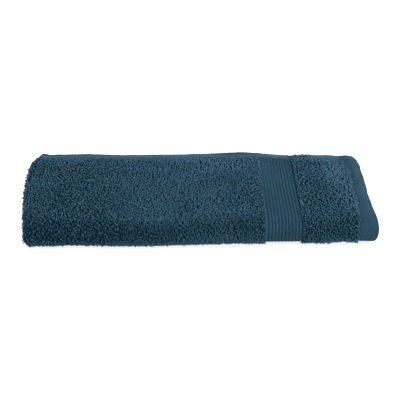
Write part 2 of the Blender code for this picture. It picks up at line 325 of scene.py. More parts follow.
def unevenLine(places, lengths):
    # about -1 to 1 along a hem, from waves of these lengths (mm) that start out of step
    apart = 2.1
    turns = [places / (length * mm) * math.tau + apart * i for i, length in enumerate(lengths)]
    return sum(np.sin(turn) for turn in turns) / 2


def puckers(fromEnd, fromSide):
    # what the sewing gathers, at the hems alone
    endHem, sideHem = bandMasks(fromEnd, fromSide)[1:]
    toEnd, toSide = toEdges(fromEnd, fromSide)
    height, endLengths, sideLengths, endSlant, sideSlant = bands["hemPucker"]
    onEnd = endHem * unevenLine(fromSide + endSlant * toEnd, endLengths)
    onSide = sideHem * (1 - endHem) * unevenLine(fromEnd + sideSlant * toSide, sideLengths)
    return height * (onEnd + onSide)


def clothLift(fromEnd, fromSide, outside):
    # the ground cloth's own faces, with no loops on them
    border, endHem, sideHem = bandMasks(fromEnd, fromSide)
    column = 2 if outside else 3
    pile = bands["pileSink"] * outsideShows(fromEnd, fromSide) if outside else 0.0
    sink = pile * (1 - border) * (1 - endHem)
    sink = sink + border * bands["border"][column] + endHem * bands["endHem"][column]
    hemSink = bands["sideHemSink"]
    if outside:
        ribbed = border * ribs(fromEnd, fromSide)
        sink = sink - bands["ribHeight"] * ribbed
        hemSink = hemSink - bands["ribsInHem"] * ribbed
    sink = sink + (hemSink - sink) * sideHem
    sink = sink + bands["seamDent"] * seam(fromEnd, fromSide) + edgeFall(fromEnd, fromSide)
    return puckers(fromEnd, fromSide) + (-sink if outside else sink - fold["pileThickness"])


def findPlace():
    # the towel stands where the frame has it: the middle of its footprint is the CAD solid's
    along, across = fold["placeSamples"]
    fromEnd, fromSide = np.meshgrid(np.linspace(0, clothLength, along), np.linspace(0, clothWidth, across))
    fromEnd, fromSide = fromEnd.ravel(), fromSide.ravel()
    endHem, sideHem = bandMasks(fromEnd, fromSide)[1:]
    sink = endHem * bands["endHem"][2] * (1 - sideHem) + sideHem * bands["sideHemSink"]
    points = foldTowel(fromEnd, fromSide, -sink)
    middle = (points.min(axis=0) + points.max(axis=0)) / 2
    cadMiddle = (np.array(cadBox[0]) + np.array(cadBox[1])) / 2
    return np.array([cadMiddle[0] - middle[0], cadMiddle[1] - middle[1], 0.0])


towelPlace = np.zeros(3)            # foldTowel adds it, also while it is being found
towelPlace = findPlace()
print("place of the towel, mm:", np.round(towelPlace / mm, 2))


# Shader nodes, and the effects that more than one material uses
def newGroup(name, inputs, outputs):
    group = bpy.data.node_groups.new(name, "ShaderNodeTree")
    for label, kind, value in inputs:
        socket = group.interface.new_socket(label, in_out="INPUT", socket_type="NodeSocket" + kind)
        if value is not None:
            socket.default_value = value
    for label, kind in outputs:
        group.interface.new_socket(label, in_out="OUTPUT", socket_type="NodeSocket" + kind)
    return group, group.nodes.new("NodeGroupInput"), group.nodes.new("NodeGroupOutput")


def feed(tree, socket, value):
    # a plain value is set, and another node's output is linked
    if isinstance(value, (int, float, tuple)):
        socket.default_value = value
    else:
        tree.links.new(value, socket)


def addNode(tree, kind, settings=None, **values):
    node = tree.nodes.new("ShaderNode" + kind)
    for key, value in (settings or {}).items():
        setattr(node, key, value)
    for key, value in values.items():
        feed(tree, node.inputs[key], value)
    return node


def useGroup(tree, group, **values):
    return addNode(tree, "Group", {"node_tree": group}, **values)


def mathNode(tree, operation, *values):
    node = addNode(tree, "Math", {"operation": operation})
    for socket, value in zip(node.inputs, values):
        feed(tree, socket, value)
    return node.outputs[0]


def mixColour(tree, factor, first, second, blend="MIX"):
    node = addNode(tree, "Mix", {"data_type": "RGBA", "blend_type": blend})
    for place, value in zip((0, 6, 7), (factor, first, second)):
        feed(tree, node.inputs[place], value)
    return node.outputs[2]


def mixValue(tree, factor, first, second):
    node = addNode(tree, "Mix")
    for place, value in zip((0, 2, 3), (factor, first, second)):
        feed(tree, node.inputs[place], value)
    return node.outputs[0]


dyeing = {
    # name of the group's input, scale and roughness of the noise
    "unevenness": (("Patch", 28.0, 0.75), ("Fleck", 360.0, 0.6)),
    "hueScale": 36.0,               # the hue drifts between these two
    "redder": (1.24, 0.955, 1.01, 1),
    "greener": (0.76, 1.045, 0.99, 1),
}


def makeDyeGroup():
    # piece-dyed cotton: slow patches and a fine fleck
    inputs = [("Colour", "Color", (0.5, 0.5, 0.5, 1)), ("Patch", "Float", 0.2), ("Fleck", "Float", 0.2),
              ("Place", "Vector", None)]
    group, ins, outs = newGroup("pieceDye", inputs, [("Colour", "Color")])
    place = ins.outputs["Place"]
    changes = []
    for label, scale, roughness in dyeing["unevenness"]:
        noise = addNode(group, "TexNoise", Vector=place, Scale=scale, Detail=3.0, Roughness=roughness)
        aboutZero = mathNode(group, "SUBTRACT", noise.outputs[0], 0.5)
        changes.append(mathNode(group, "MULTIPLY", aboutZero, ins.outputs[label]))
    level = mathNode(group, "ADD", mathNode(group, "ADD", *changes), 1.0)
    hue = addNode(group, "TexNoise", Vector=place, Scale=dyeing["hueScale"], Detail=1.0, Roughness=0.5)
    tint = mixColour(group, hue.outputs[0], dyeing["redder"], dyeing["greener"])
    tinted = mixColour(group, 1.0, ins.outputs["Colour"], tint, "MULTIPLY")
    shade = addNode(group, "VectorMath", {"operation": "SCALE"}, Scale=level)
    feed(group, shade.inputs[0], tinted)
    feed(group, outs.inputs["Colour"], shade.outputs[0])
    return group


def makeWeaveGroup():
    # plain weave: threads over and under, on the flat cloth's own measures
    group, ins, outs = newGroup("plainWeave", [("Flat", "Vector", None), ("Threads", "Float", 1200.0)],
                                [("Height", "Float"), ("Gap", "Float")])
    parts = addNode(group, "SeparateXYZ", Vector=ins.outputs["Flat"])
    threads = []
    for axis in (0, 1):
        turns = mathNode(group, "MULTIPLY", parts.outputs[axis], ins.outputs["Threads"])
        threads.append(mathNode(group, "SINE", mathNode(group, "MULTIPLY", turns, math.tau)))
    over = mathNode(group, "MULTIPLY", *threads)
    feed(group, outs.inputs["Height"], mathNode(group, "MULTIPLY_ADD", over, 0.5, 0.5))
    feed(group, outs.inputs["Gap"], mathNode(group, "POWER", mathNode(group, "ABSOLUTE", over), 0.5))
    return group


def makeTwistGroup():
    # two plies twisted together, along and round one yarn
    group, ins, outs = newGroup("twistedYarn", [("Yarn", "Vector", None), ("Turns", "Float", 5.0)],
                                [("Height", "Float")])
    plyRound = 0.6
    parts = addNode(group, "SeparateXYZ", Vector=ins.outputs["Yarn"])
    along = mathNode(group, "MULTIPLY", parts.outputs[0], ins.outputs["Turns"])
    turn = mathNode(group, "MULTIPLY", mathNode(group, "ADD", along, parts.outputs[1]), math.tau)
    ply = mathNode(group, "ABSOLUTE", mathNode(group, "SINE", turn))
    feed(group, outs.inputs["Height"], mathNode(group, "POWER", ply, plyRound))
    return group


pieceDye = makeDyeGroup()
plainWeave = makeWeaveGroup()
twistedYarn = makeTwistGroup()

dye = {
    "loop": (0.0690, 0.1500, 0.2250, 1),        # the loops' tops
    "loopDarkAndShaded": (0.0035, 0.0320, 0.0540, 1),    # their roots, in painted shade, and darker ones
    "ground": (0.0008, 0.0110, 0.0210, 1),      # the ground cloth under them, painted dark as their shade
    "border": (0.0222, 0.0585, 0.0880, 1),
    "groove": (0.0032, 0.0180, 0.0350, 1),      # painted shade between the border's ribs and in the weave's openings
    "hem": (0.0290, 0.0655, 0.0850, 1),
    "hemShaded": (0.0172, 0.0458, 0.0748, 1),    # painted shade on the end hem, towards its sewing and over the front fold
    "sideHem": (0.0470, 0.0900, 0.1270, 1),     # turned twice and flatter, and paler with a painted sheen
    "edge": (0.0235, 0.0410, 0.0515, 1),        # painted shade on the turned edge
    "thread": (0.0220, 0.0500, 0.0720, 1),
}
finishes = {
    # patch and fleck are the dye's unevenness, relief and depth the bump's strength and distance
    "terryGround": {"roughness": 0.92, "specular": 0.06, "patch": 0.55, "fleck": 1.0, "relief": 0.5,
                    "depth": 0.6 * mm, "threads": 900.0, "openingShade": 0.35, "terry": 420.0},
    "terryLoops": {"roughness": 0.95, "specular": 0.03, "patch": 0.12, "fleck": 0.3, "relief": 0.45,
                   "depth": 0.3 * mm, "turns": 4.0},
    "sewingThread": {"roughness": 0.7, "specular": 0.06, "patch": 0.1, "fleck": 0.3, "relief": 0.4,
                     "depth": 0.1 * mm, "turns": 6.0},
}


def newMaterial(name, colourAndHeight):
    # colourAndHeight adds a material's own nodes, and the dye and the relief follow here
    finish = finishes[name]
    material = bpy.data.materials.new(name)
    material.use_nodes = True
    tree = material.node_tree
    shader = tree.nodes["Principled BSDF"]
    feed(tree, shader.inputs["Roughness"], finish["roughness"])
    feed(tree, shader.inputs["Specular IOR Level"], finish["specular"])
    place = addNode(tree, "TexCoord").outputs["Object"]
    colour, height = colourAndHeight(tree, finish, place)
    dyed = useGroup(tree, pieceDye, Colour=colour, Place=place,
                    Patch=finish["patch"], Fleck=finish["fleck"])
    bump = addNode(tree, "Bump", Strength=finish["relief"], Distance=finish["depth"], Height=height)
    feed(tree, shader.inputs["Base Color"], dyed.outputs[0])
    feed(tree, shader.inputs["Normal"], bump.outputs[0])
    return material


def attribute(tree, name):
    return addNode(tree, "Attribute", {"attribute_name": name}).outputs["Fac"]


def groundNodes(tree, finish, place):
    # painted shade in the rib grooves, and painted shadow in the groove before the first rib
    ribbed = mixColour(tree, attribute(tree, "ribCrest"), dye["groove"], dye["border"])
    # painted shade on the end hem, away from its edge and over the front fold
    hemLightAndShade = mixColour(tree, attribute(tree, "hemLitPart"), dye["hemShaded"], dye["hem"])
    # painted sheen on the side hem on top
    turned = mixColour(tree, attribute(tree, "sideHemSheen"), hemLightAndShade, dye["sideHem"])
    # painted shade on the turned edges
    edgeShaded = mixColour(tree, attribute(tree, "edgeMask"), turned, dye["edge"])
    woven = mixColour(tree, attribute(tree, "borderMask"), edgeShaded, ribbed)
    # painted shade: where loops grow, the ground cloth takes the dark ground colour
    ground = mixColour(tree, attribute(tree, "tuft"), dye["ground"], dye["loopDarkAndShaded"])
    flat = addNode(tree, "UVMap", {"uv_map": "flatCloth"}).outputs[0]
    weave = useGroup(tree, plainWeave, Flat=flat, Threads=finish["threads"])
    # painted shade in the plain weave's openings between its threads
    gaps = mathNode(tree, "SUBTRACT", 1.0, weave.outputs["Gap"])
    woven = mixColour(tree, mathNode(tree, "MULTIPLY", gaps, finish["openingShade"]), woven, dye["groove"])
    terry = addNode(tree, "TexVoronoi", {"feature": "SMOOTH_F1"}, Vector=place, Scale=finish["terry"])
    wovenMask = attribute(tree, "woven")
    height = mixValue(tree, wovenMask, terry.outputs["Distance"], weave.outputs["Height"])
    return mixColour(tree, wovenMask, ground, woven), height


def twistNodes(tree, finish):
    yarn = addNode(tree, "UVMap", {"uv_map": "yarnLay"}).outputs[0]
    return useGroup(tree, twistedYarn, Yarn=yarn, Turns=finish["turns"]).outputs[0]


def loopNodes(tree, finish, place):
    # the tone holds painted shade at the roots and over the front fold, besides each loop's own tone
    colour = mixColour(tree, attribute(tree, "tone"), dye["loopDarkAndShaded"], dye["loop"])
    return colour, twistNodes(tree, finish)


def threadNodes(tree, finish, place):
    return dye["thread"], twistNodes(tree, finish)


clothMaterial = newMaterial("terryGround", groundNodes)
loopMaterial = newMaterial("terryLoops", loopNodes)
threadMaterial = newMaterial("sewingThread", threadNodes)
print("materials made")

# The ground cloth
clothSteps = {
    # the rows of its mesh
    "edgeRows": (0.0, 0.35, 0.9, 1.9),      # mm from every edge
    "sideHemRows": (3.0, 4.5, 6.0),         # and on the side hem
    "endHem": (4.0 * mm, 16.0 * mm, 4.5 * mm),      # from, to, step
    "perRib": 8,
    "pile": 6.5 * mm,               # along the cloth, where loops hide it
    "bend": 14,
    "insideLayers": 14.0 * mm,      # along the half that is folded inside
    "top": 5.0 * mm,                # across it
    "under": 11.0 * mm,
    "hidden": 16.0 * mm,
    "frontFold": 22,
    "backFold": 14,
    # each face is baked in its own half of the map: how high it is, and where the second starts
    "bakeHalf": (0.49, 0.505),
}
clothShades = {
    "hemPaleTo": (4.0 * mm, 15.0 * mm),     # the end hem is out of its painted shade up to here from its edge,
    "hemPaleFrom": (330.0 * mm, 400.0 * mm),        # and from here on along the letter fold
    "sideHemAtEnd": 0.7,            # how much of its painted sheen the side hem loses on the end hem
    # how dark the painted shadow of the pile is in the groove before the first rib, along the letter fold,
    # from 0 to 1
    "groove": ((0.66, 0.35), (0.72, 0.5), (0.78, 0.75), (0.86, 1.0), (0.92, 1.0), (0.96, 0.6), (1.0, 0.4)),
    "edge": 1.6 * mm,               # how much of a turned edge is in painted shade,
    "edgeBlur": (-1.2 * mm, 1.0 * mm),      # and over what it pales
    # x, how much of that painted shade shows on the side hem on top, where it rolls up (mm)
    "edgeShows": ((-240, 3.8), (-215, 5.2), (-160, 5.6), (-125, 3.2), (-80, 1.5), (10, 2),
                  (28, 6.2), (46, 8), (70, 7.6), (92, 3.4), (120, 2), (232, 1.8)),
    "edgeOnTop": 0.7,               # and how dark the painted shade is there
}


def between(start, end, step):
    count = max(1, math.ceil((end - start) / step - 1e-6))
    return list(np.linspace(start, end, count + 1))


def seamRows(seamAt):
    return [seamAt + share * bands["seamWidth"] for share in (-1, -0.5, 0, 0.5, 1)]


def placesAlong():
    hemEnd, step = bands["endHem"][1], bands["step"]
    start, end = bands["border"][:2]
    hem = [row * mm for row in clothSteps["edgeRows"]] + between(*clothSteps["endHem"])
    hem += seamRows(hemEnd - bands["seamIn"]) + [hemEnd, hemEnd + step / 2, hemEnd + step]
    places = hem + between(hemEnd + step, start - step, clothSteps["pile"])
    ribSteps = bands["ribs"] * clothSteps["perRib"]
    places += [start - step / 2, start] + list(np.linspace(bands["ribsFrom"], end, ribSteps + 1))
    places += [end + step / 2] + between(end + step, bendStart, clothSteps["pile"])
    places += list(np.linspace(bendStart, bendEnd, clothSteps["bend"] + 1))
    places += between(bendEnd, clothLength - hemEnd - step, clothSteps["insideLayers"])
    return np.unique(np.round(places + [clothLength - row for row in hem], 7))


def placesAcross():
    hemIn, step = bands["sideHem"], bands["step"]
    hem = [row * mm for row in clothSteps["edgeRows"] + clothSteps["sideHemRows"]]
    hem += seamRows(hemIn - bands["seamIn"]) + [hemIn, hemIn + step / 2, hemIn + step]
    places = hem + between(hemIn + step, middleRunEnd, clothSteps["hidden"])
    places += list(np.linspace(middleRunEnd, backFoldEnd, clothSteps["backFold"] + 1))
    places += between(backFoldEnd, underRunEnd, clothSteps["under"])
    places += list(np.linspace(underRunEnd, frontFoldEnd, clothSteps["frontFold"] + 1))
    places += between(frontFoldEnd, clothWidth - hemIn - step, clothSteps["top"])
    return np.unique(np.round(places + [clothWidth - row for row in hem], 7))


def flatPlaces(mesh):
    co = np.empty(len(mesh.vertices) * 3)
    mesh.vertices.foreach_get("co", co)
    return co.reshape(-1, 3)


def addAttribute(mesh, name, values):
    layer = mesh.attributes.new(name, "FLOAT", "POINT")
    layer.data.foreach_set("value", np.asarray(values, dtype=np.float32))


def addUv(mesh, name, cornerPlaces):
    layer = mesh.uv_layers.new(name=name)
    layer.data.foreach_set("uv", np.asarray(cornerPlaces, dtype=np.float32).ravel())


def addObject(name, data):
    made = bpy.data.objects.new(name, data)
    bpy.context.scene.collection.objects.link(made)
    return made


def sortRim(bm):
    # the faces along the cloth's edges are made in no fixed order: here they come last, in turn round it
    bm.faces.index_update()
    count = len(bm.faces)

    def place(face):
        x, y, z = face.calc_center_median()
        onRim = 0.0 < z < 1.0
        return count + math.atan2(y - clothWidth / 2, x - clothLength / 2) if onRim else face.index

    bm.faces.sort(key=place)


def makeFlatCloth():
    # both faces of the cloth as one closed grid: z is 0 on the face outside the pair, and 1 inside it
    along, across = placesAlong(), placesAcross()
    bm = bmesh.new()
    bmesh.ops.create_grid(bm, x_segments=len(along) - 1, y_segments=len(across) - 1, size=0.5)
    bmesh.ops.extrude_face_region(bm, geom=bm.faces[:], use_keep_orig=True)
    half = len(bm.verts) // 2
    bm.verts.ensure_lookup_table()
    for i, v in enumerate(bm.verts):    # the grid's even rows go to the cloth's own
        column = round((v.co.x + 0.5) * (len(along) - 1))
        row = round((v.co.y + 0.5) * (len(across) - 1))
        v.co = (along[column], across[row], 0.0 if i < half else 1.0)
    bmesh.ops.recalc_face_normals(bm, faces=bm.faces)
    sortRim(bm)
    mesh = bpy.data.meshes.new("towelCloth")
    bm.to_mesh(mesh)
    bm.free()
    return mesh


def clothMasks(fromEnd, fromSide, outside):
    # what the cloth's material reads
    border, endHem, sideHem = bandMasks(fromEnd, fromSide)
    toEnd, toSide = toEdges(fromEnd, fromSide)
    places, shades = np.array(clothShades["groove"]).T
    grooveShadowLifted = (1 - np.interp(fromSide / clothWidth, places, shades)) * (fromEnd < bands["ribsFrom"])
    atEdge = 1 - smooth(fromEnd, *clothShades["hemPaleTo"])
    onTop = fromSide > clothWidth / 2
    # painted shade on the turned edges, wider where the side hem on top rolls up
    rolled = (fromSide > frontFoldEnd) & (toSide < toEnd)
    shows = np.where(rolled, readTable(clothShades["edgeShows"], endX - fromEnd), clothShades["edge"])
    turned = 1 - smooth(np.minimum(toEnd, toSide) - shows, *clothShades["edgeBlur"])
    return {
        "woven": np.maximum(np.maximum(border, endHem), sideHem),
        "borderMask": border * (1 - sideHem) * (1 - endHem) * outside,
        # 1 on the ribs' crests; the grooves get painted shade, and the groove before the first rib painted
        # shadow
        "ribCrest": np.maximum(ribs(fromEnd, fromSide), grooveShadowLifted),
        "hemLitPart": atEdge * smooth(fromSide, *clothShades["hemPaleFrom"]),
        "sideHemSheen": sideHem * onTop * (1 - clothShades["sideHemAtEnd"] * endHem),
        "edgeMask": turned * np.where(rolled, clothShades["edgeOnTop"], 1.0),
        # 0 where loops grow, and the ground there is painted dark as their shade
        "tuft": 1 - outsideShows(fromEnd, fromSide) * outside,
    }


def makeCloth():
    mesh = makeFlatCloth()
    flat = flatPlaces(mesh)
    fromEnd, fromSide, outside = flat[:, 0], flat[:, 1], flat[:, 2] < 0.5
    lift = np.where(outside, clothLift(fromEnd, fromSide, True), clothLift(fromEnd, fromSide, False))
    mesh.vertices.foreach_set("co", foldTowel(fromEnd, fromSide, lift).ravel())
    for name, values in clothMasks(fromEnd, fromSide, outside).items():
        addAttribute(mesh, name, values)

    corners = np.empty(len(mesh.loops), dtype=np.int64)
    mesh.loops.foreach_get("vertex_index", corners)
    uv = np.stack([fromEnd, fromSide], axis=-1)[corners]
    high, second = clothSteps["bakeHalf"]
    bakeY = uv[:, 1] / clothWidth * high + second * ~outside[corners]
    addUv(mesh, "flatCloth", uv)
    addUv(mesh, "OFBake", np.stack([uv[:, 0] / clothLength, bakeY], axis=-1))
    mesh.materials.append(clothMaterial)
    mesh.shade_smooth()
    return addObject("towelCloth", mesh)


def makeFacesPointOut(piece):
    bm = bmesh.new()
    bm.from_mesh(piece.data)
    bmesh.ops.recalc_face_normals(bm, faces=bm.faces)
    if bm.calc_volume(signed=True) < 0:
        bmesh.ops.reverse_faces(bm, faces=bm.faces)
    bm.to_mesh(piece.data)
    bm.free()


cloth = makeCloth()
makeFacesPointOut(cloth)
print("cloth:", len(cloth.data.polygons), "faces")


# Small yarn shapes, copied in their thousands
def yarnPattern(rings, sides):
    # one closed yarn with pointed ends: its faces, and each corner's place along and round it
    faces, corners = [], []
    along = [ring / (rings + 1) for ring in range(rings + 2)]
    last, tip = 1 + (rings - 1) * sides, 1 + rings * sides
    for k in range(sides):
        nextK = (k + 1) % sides
        left, middle, right = k / sides, (k + 0.5) / sides, (k + 1) / sides
        faces.append((0, 1 + nextK, 1 + k))
        corners += [(0.0, middle), (along[1], right), (along[1], left)]
        for ring in range(1, rings):
            near, far = 1 + (ring - 1) * sides, 1 + ring * sides
            a, b = along[ring:ring + 2]
            faces.append((near + k, near + nextK, far + nextK, far + k))
            corners += [(a, left), (a, right), (b, right), (b, left)]
        faces.append((last + k, last + nextK, tip))
        corners += [(along[rings], left), (along[rings], right), (1.0, middle)]
    return faces, np.array(corners)


def yarnRings(path, radii, sides):
    # path: copies x points x 3, radii: copies x points; the two end points are the tips
    ahead = np.gradient(path, axis=1)
    ahead /= np.linalg.norm(ahead, axis=2, keepdims=True)
    chord = path[:, -1] - path[:, 0]
    up = np.cross(chord, path[:, path.shape[1] // 2] - path[:, 0])
    up /= np.maximum(np.linalg.norm(up, axis=1, keepdims=True), 1e-9)
    side = np.broadcast_to(up[:, None, :], path.shape)
    other = np.cross(ahead, side)
    other /= np.linalg.norm(other, axis=2, keepdims=True)
    side = np.cross(other, ahead)
    verts = [path[:, :1]]
    for ring in range(1, path.shape[1] - 1):
        for k in range(sides):
            turn = math.tau * (k + 0.5) / sides
            out = math.cos(turn) * side[:, ring] + math.sin(turn) * other[:, ring]
            verts.append((path[:, ring] + out * radii[:, ring, None])[:, None])
    verts.append(path[:, -1:])
    return np.concatenate(verts, axis=1)


def joinCopies(name, points, faces, corners, material, attributes):
    # points: copies x points x 3; every copy has the same faces
    copies, perCopy = points.shape[:2]
    sizes = np.array([len(face) for face in faces])
    pattern = np.concatenate([np.array(face) for face in faces])
    indices = (pattern[None, :] + np.arange(copies)[:, None] * perCopy).ravel()
    totals = np.tile(sizes, copies)
    mesh = bpy.data.meshes.new(name)
    mesh.vertices.add(copies * perCopy)
    mesh.vertices.foreach_set("co", points.astype(np.float32).ravel())
    mesh.loops.add(len(indices))
    mesh.loops.foreach_set("vertex_index", indices.astype(np.int32))
    mesh.polygons.add(len(totals))
    mesh.polygons.foreach_set("loop_start", np.concatenate([[0], np.cumsum(totals)[:-1]]).astype(np.int32))
    mesh.update(calc_edges=True)
    for label, values in attributes.items():
        addAttribute(mesh, label, values.ravel())
    addUv(mesh, "yarnLay", np.tile(corners, (copies, 1)))
    cells = math.ceil(math.sqrt(copies))    # each copy has a cell of its own to be baked in
    cell = np.stack([np.arange(copies) % cells, np.arange(copies) // cells], axis=-1)
    margin = 0.06
    inCell = margin + (1 - 2 * margin) * corners
    addUv(mesh, "OFBake", ((cell[:, None, :] + inCell[None, :, :]) / cells).reshape(-1, 2))
    mesh.materials.append(material)
    mesh.shade_smooth()
    return addObject(name, mesh)


# The pile
loop = {
    "span": 3.2 * mm,               # foot to foot
    "spanRange": (0.75, 1.25),      # of that
    "height": 3.2 * mm,             # above the ground cloth
    "heightRange": (0.8, 1.12),
    "yarn": 0.58 * mm,              # half its thickness
    "yarnRange": (0.85, 1.15),
    "lean": 1.1 * mm,               # how far a loop's top falls sideways
    "curl": 0.5 * mm,
    "root": 0.8 * mm,               # how deep its feet are in the ground cloth
    "path": (-0.10, 0.14, 0.38, 0.62, 0.86, 1.10),
    "archRound": 0.8,               # below 1 the arch is broader than a wave's
    "sides": 4,
    "clear": 0.2 * mm,              # kept off the surface the towel lies on
    "pitch": (2.7 * mm, 2.2 * mm),  # along the cloth, and along the letter fold
    "jitter": 0.36,                 # of the pitch
    "leastShown": 0.3,              # loops grow where the outer face shows at least this much
    "leastStretch": 0.4,            # a loop spreads no more than this allows where the cloth turns inwards
    "combed": (0.15, 0.45),         # share of the turns along the letter fold, on top and on the front fold
    "combedOver": (-15.0 * mm, 10.0 * mm),  # between them, about the front fold's end
    "proudShare": 0.08,             # loops that stand out of the pile,
    "proud": 1.3,                   # and how tall they are
    # the pile's outlines: from and to, along the cloth and across it
    "outlineBend": (438.0 * mm, 450.0 * mm),
    "outlineFoot": (308.0 * mm, 318.0 * mm, 324.0 * mm, 334.0 * mm),
    "atFoot": 0.25,                 # share of the change at the bend
    "outlineLoops": (0.9, 0.14, 0.1),       # how low the others are there, more proud ones, and prouder
    "shadeFrom": (-2.1 * mm, 0.3 * mm),     # lift over which a loop lightens out of the painted shade at its root
    "toneOwn": 0.15,
    "toneSlow": 0.05,
    "slowLength": (50.0 * mm, 110.0 * mm),
    "rougher": (1.9, 300.0 * mm, 370.0 * mm),       # how much more uneven near the bend, and where
    "seeds": {"pile": 11, "bandEdges": 31, "slow": 3, "tufts": 4},
}
tuft = {
    # the loops' tops gather in small tufts, with dark partings between them
    "size": (2.6 * mm, 4.4 * mm),
    "longer": 1.45,                 # along the letter fold
    "gather": 0.28 * mm,
    "height": 0.07,
    # painted shade: the loops are darker in the partings and paler on the tufts' tops
    "tone": 0.10,
    "waves": 60,
    "looserAtEnd": 1.4,             # between the border and the end hem,
    "looserOver": 30.0 * mm,        # from the front fold's end on
}
pileFields = (
    # name, fromEnd from and to (mm), fromSide from and to (mm), share of the usual pitch
    ("pileTopLeft", 300, 448.4, 354.9, 491.5, 1),
    ("pileTopMiddle", 145.2, 300, 354.9, 491.5, 1),
    ("pileTopEnd", 22.2, 94.2, 354.9, 491.5, 1),
    ("pileFrontBody", 145.2, 448.4, 311.5, 354.9, 0.95),
    ("pileFrontEnd", 22.2, 94.2, 311.5, 354.9, 0.95),
    ("pileUnder", 22.2, 448.4, 168.4, 311.5, 1.55),
    ("pileBack", 22.2, 448.4, 136, 168.4, 0.98),
    ("pileBends", 448.4, 474, 8, 492.5, 0.95),
    ("pileEndBrushed", 24, 56, 426, 489, 1.4),      # more loops, where they lie flat
)
pileLightAndShade = {
    # painted shade and light: the loops are darker over the front fold, and paler at its foot as if lit
    # from the floor
    "fromSide": (300, 318, 326.5, 330, 333.5, 348, 366),      # mm
    "tone": (0.62, 0.65, 0.58, 0.44, 0.39, 0.46, 0.58),
}
pilePatches = (
    # where the pile is brushed flat and paler, or darker:
    # fromEnd and fromSide of the middle (mm), reach along each (mm), tone
    (270, 410, 80, 80, 0.03),
    (230, 488, 110, 9, 0.20),
    (48, 488, 20, 4, 0.22),
    (48, 478, 22, 5, -0.22),
    (385, 484, 26, 8, 0.08),
    (295, 484, 12, 8, -0.14),
    (334, 484, 26, 8, -0.08),
    (345, 457, 45, 9, -0.12),
    (446, 470, 24, 24, -0.14),
    (292, 465, 22, 9, 0.16),
    (203, 470, 30, 14, 0.26),
    (37, 458, 15, 42, 0.17),
    (390, 395, 80, 55, -0.10),
    (265, 353, 32, 9, 0.20),
    (260, 341, 34, 7, -0.14),
    (224, 347, 16, 8, -0.20),
    (400, 325, 90, 30, -0.13),
    (412, 341, 28, 8, -0.12),
    (190, 333, 40, 7, 0.20),
    (178, 335, 14, 7, -0.12),
    (466, 400, 12, 110, -0.16),
    (30, 396, 14, 24, 0.16),
    (30, 354, 12, 5, -0.16),
    (405, 386, 18, 16, -0.14),
    (330, 462, 30, 22, -0.08),
    (172, 466, 16, 8, 0.12),
    (222, 466, 12, 8, -0.16),
    (248, 464, 10, 8, -0.10),
    (272, 464, 10, 8, 0.12),
    (408, 396, 12, 10, -0.10),
    (332, 412, 10, 16, -0.10),
    (322, 342, 26, 6, -0.12),
    (275, 378, 18, 20, 0.09),
    (166, 370, 12, 16, 0.14),
    (350, 415, 12, 22, -0.08),
    (75, 400, 14, 26, -0.05),
    (64, 458, 10, 26, -0.05),
    (334, 357, 12, 5, 0.12),
    (332, 325, 14, 6, 0.12),
    (45, 325, 38, 7, 0.12),
)
calmPatches = (
    # where the pile lies flatter with no change of tone: the same measures, and how flat, from 0 to 1
    (268, 430, 58, 46, 0.55),
)
brushing = {
    "full": 0.30,                   # the change of tone where the pile lies quite flat
    "longer": 0.6,                  # its loops look longer there,
    "flatter": 0.14,
    "calmer": 0.6,                  # are more even in tone,
    "combed": 0.6,                  # turn one way,
    "paleRoots": 0.4,               # and hide their roots, with less painted shade on them
}
bandEdges = (
    # loops that lie over the line where a band starts: the line's measure, where it is (mm),
    # its from and to (mm), how far the loops fall over the band (mm), how loosely they keep the line (mm)
    ("fromEnd", 22.6, 132, 491, -1.7, 0.9),
    ("fromEnd", 22, 132, 491, -1.2, 1.3),
    ("fromEnd", 93.9, 132, 372, 1.7, 0.8),
    ("fromEnd", 94, 372, 491, 1.2, 0.8),
    ("fromEnd", 144.9, 132, 491, -1.6, 1.1),
    ("fromEnd", 144.4, 132, 491, -2.2, 1.6),
    ("fromSide", 490.3, 22, 470, 0.3, 0.4),
    ("fromSide", 488.4, 22, 470, 0.3, 0.7),
    ("fromSide", 493.5, 64, 99, 1.2, 0.8),
    ("fromSide", 496, 66, 101, 1.2, 0.8),
    ("fromSide", 498.5, 67, 101, 1.2, 0.7),
)
bandEdgeLoops = {
    "pitch": 2.1 * mm,
    "swing": 0.7,                   # how far each turns from the line's own way
    "fallRange": (0.2, 1.6),
    "onBorder": 0.9,                # how far into a band's slope they may stand
    "onHem": 0.95,
}
sideHemPile = {
    "lowFrom": 483.0 * mm,          # the turned hem presses the loops next to it,
    "lowOver": 7.0 * mm,
    "low": 0.64,
    "tallBetween": (64.0 * mm, 104.0 * mm),         # and here they stand up and fall over it
    "tallOver": 4.0 * mm,
    "tall": 1.25,
}


def waves(rng, places, length, count=7):
    # unevenness of about the given lengths, about -1 to 1, and the way up its slope
    total, slope = 0.0, 0.0
    for _ in range(count):
        angle, phase = rng.uniform(0, math.tau, 2)
        reach = rng.uniform(*length)
        way = np.array([math.cos(angle), math.sin(angle)])
        turn = places @ way / reach * math.tau + phase
        total = total + np.sin(turn)
        slope = slope + np.cos(turn)[:, None] * way
    return total * math.sqrt(2 / count), slope * math.sqrt(2 / count)


def patchTone(places):
    # the pile's tone, and how far it is brushed flat, 0 to 1
    def near(fromEnd, fromSide, along, across):
        far = ((places[:, 0] / mm - fromEnd) / along) ** 2 + ((places[:, 1] / mm - fromSide) / across) ** 2
        return np.exp(-far)

    # painted shade over the front fold, and painted bounce light at its foot
    tone = np.interp(places[:, 1] / mm, pileLightAndShade["fromSide"], pileLightAndShade["tone"])
    brushed = sum(flat * near(*patch) for *patch, flat in calmPatches)
    for *patch, change in pilePatches:
        tone += change * near(*patch)
        brushed = brushed + max(change, 0.0) / brushing["full"] * near(*patch)
    return tone, np.clip(brushed, 0.0, 1.0)


